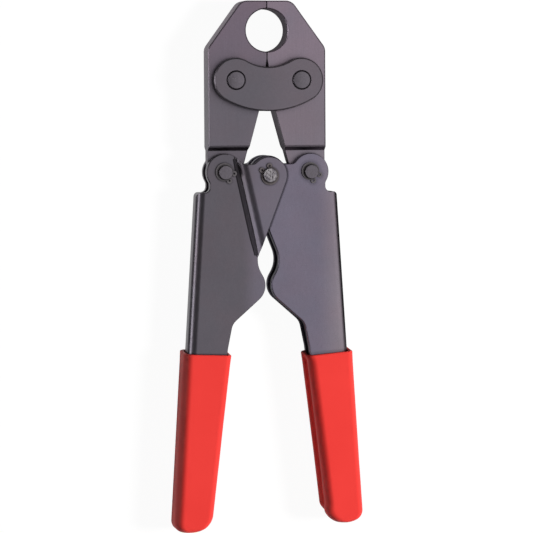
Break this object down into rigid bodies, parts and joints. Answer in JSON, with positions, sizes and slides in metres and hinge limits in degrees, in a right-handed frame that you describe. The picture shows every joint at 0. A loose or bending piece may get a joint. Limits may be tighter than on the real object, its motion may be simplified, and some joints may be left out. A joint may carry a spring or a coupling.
{
  "type": "pex crimp tool",
  "caption": "Hand crimping pliers: split jaws round a bore, kidney-shaped link plates, folded steel handles with a joggled centre pivot and red vinyl grips; squeezing closes the jaws.",
  "frame": {"origin": "on the axis of the crimping bore, halfway through the thickness of the jaws", "axes": "+Y along the tool to the nose, +X to the right-hand handle, +Z along the bore out of the front face"},
  "size_m": [0.0811, 0.2238, 0.0232],
  "materials": {
    "jaw_steel": "blackened, satin",
    "plate_steel": "blackened, satin",
    "handle_steel": "blackened, satin",
    "pin_steel": "blackened, worn",
    "ring_steel": "phosphated",
    "red_vinyl": "smooth vinyl, satin"
  },
  "bodies": {
    "link": {"link_plate_front": "plate_steel", "link_plate_rear": "plate_steel", "link_pin_left": "pin_steel", "link_pin_right": "pin_steel"},
    "jaw_right": {"jaw_right": "jaw_steel"},
    "handle_right": {"handle_right": "handle_steel", "grip_right": "red_vinyl", "handle_pin_right": "pin_steel", "right_ring_front": "ring_steel", "right_ring_rear": "ring_steel"},
    "handle_left": {"handle_left": "handle_steel", "grip_left": "red_vinyl", "handle_pin_left": "pin_steel", "left_ring_front": "ring_steel", "left_ring_rear": "ring_steel", "centre_pin": "pin_steel", "centre_ring_front": "ring_steel", "centre_ring_rear": "ring_steel"},
    "jaw_left": {"jaw_left": "jaw_steel"}
  },
  "joints": [
    {"name": "right_jaw_pivot", "type": "hinge", "parent": "link", "child": "jaw_right", "pos_m": [0.014, -0.0209, 0], "axis": [0, 0, -1], "range_deg": [0, 15.02]},
    {"name": "right_handle_pivot", "type": "hinge", "parent": "jaw_right", "child": "handle_right", "pos_m": [0.0184, -0.0595, 0], "axis": [0, 0, 1], "range_deg": [0, 74.67]},
    {"name": "centre_pivot", "type": "hinge", "parent": "handle_right", "child": "handle_left", "pos_m": [0, -0.0607, 0], "axis": [0, 0, -1], "range_deg": [0, 119.3]},
    {"name": "left_handle_pivot", "type": "hinge", "parent": "handle_left", "child": "jaw_left", "pos_m": [-0.0184, -0.0595, 0], "axis": [0, 0, 1], "range_deg": [0, 74.67]}
  ],
  "couplings": [
    {"joint": "right_jaw_pivot", "follows": "centre_pivot", "ratio": 0.12572},
    {"joint": "right_handle_pivot", "follows": "centre_pivot", "ratio": 0.62572},
    {"joint": "left_handle_pivot", "follows": "centre_pivot", "ratio": 0.62572}
  ]
}
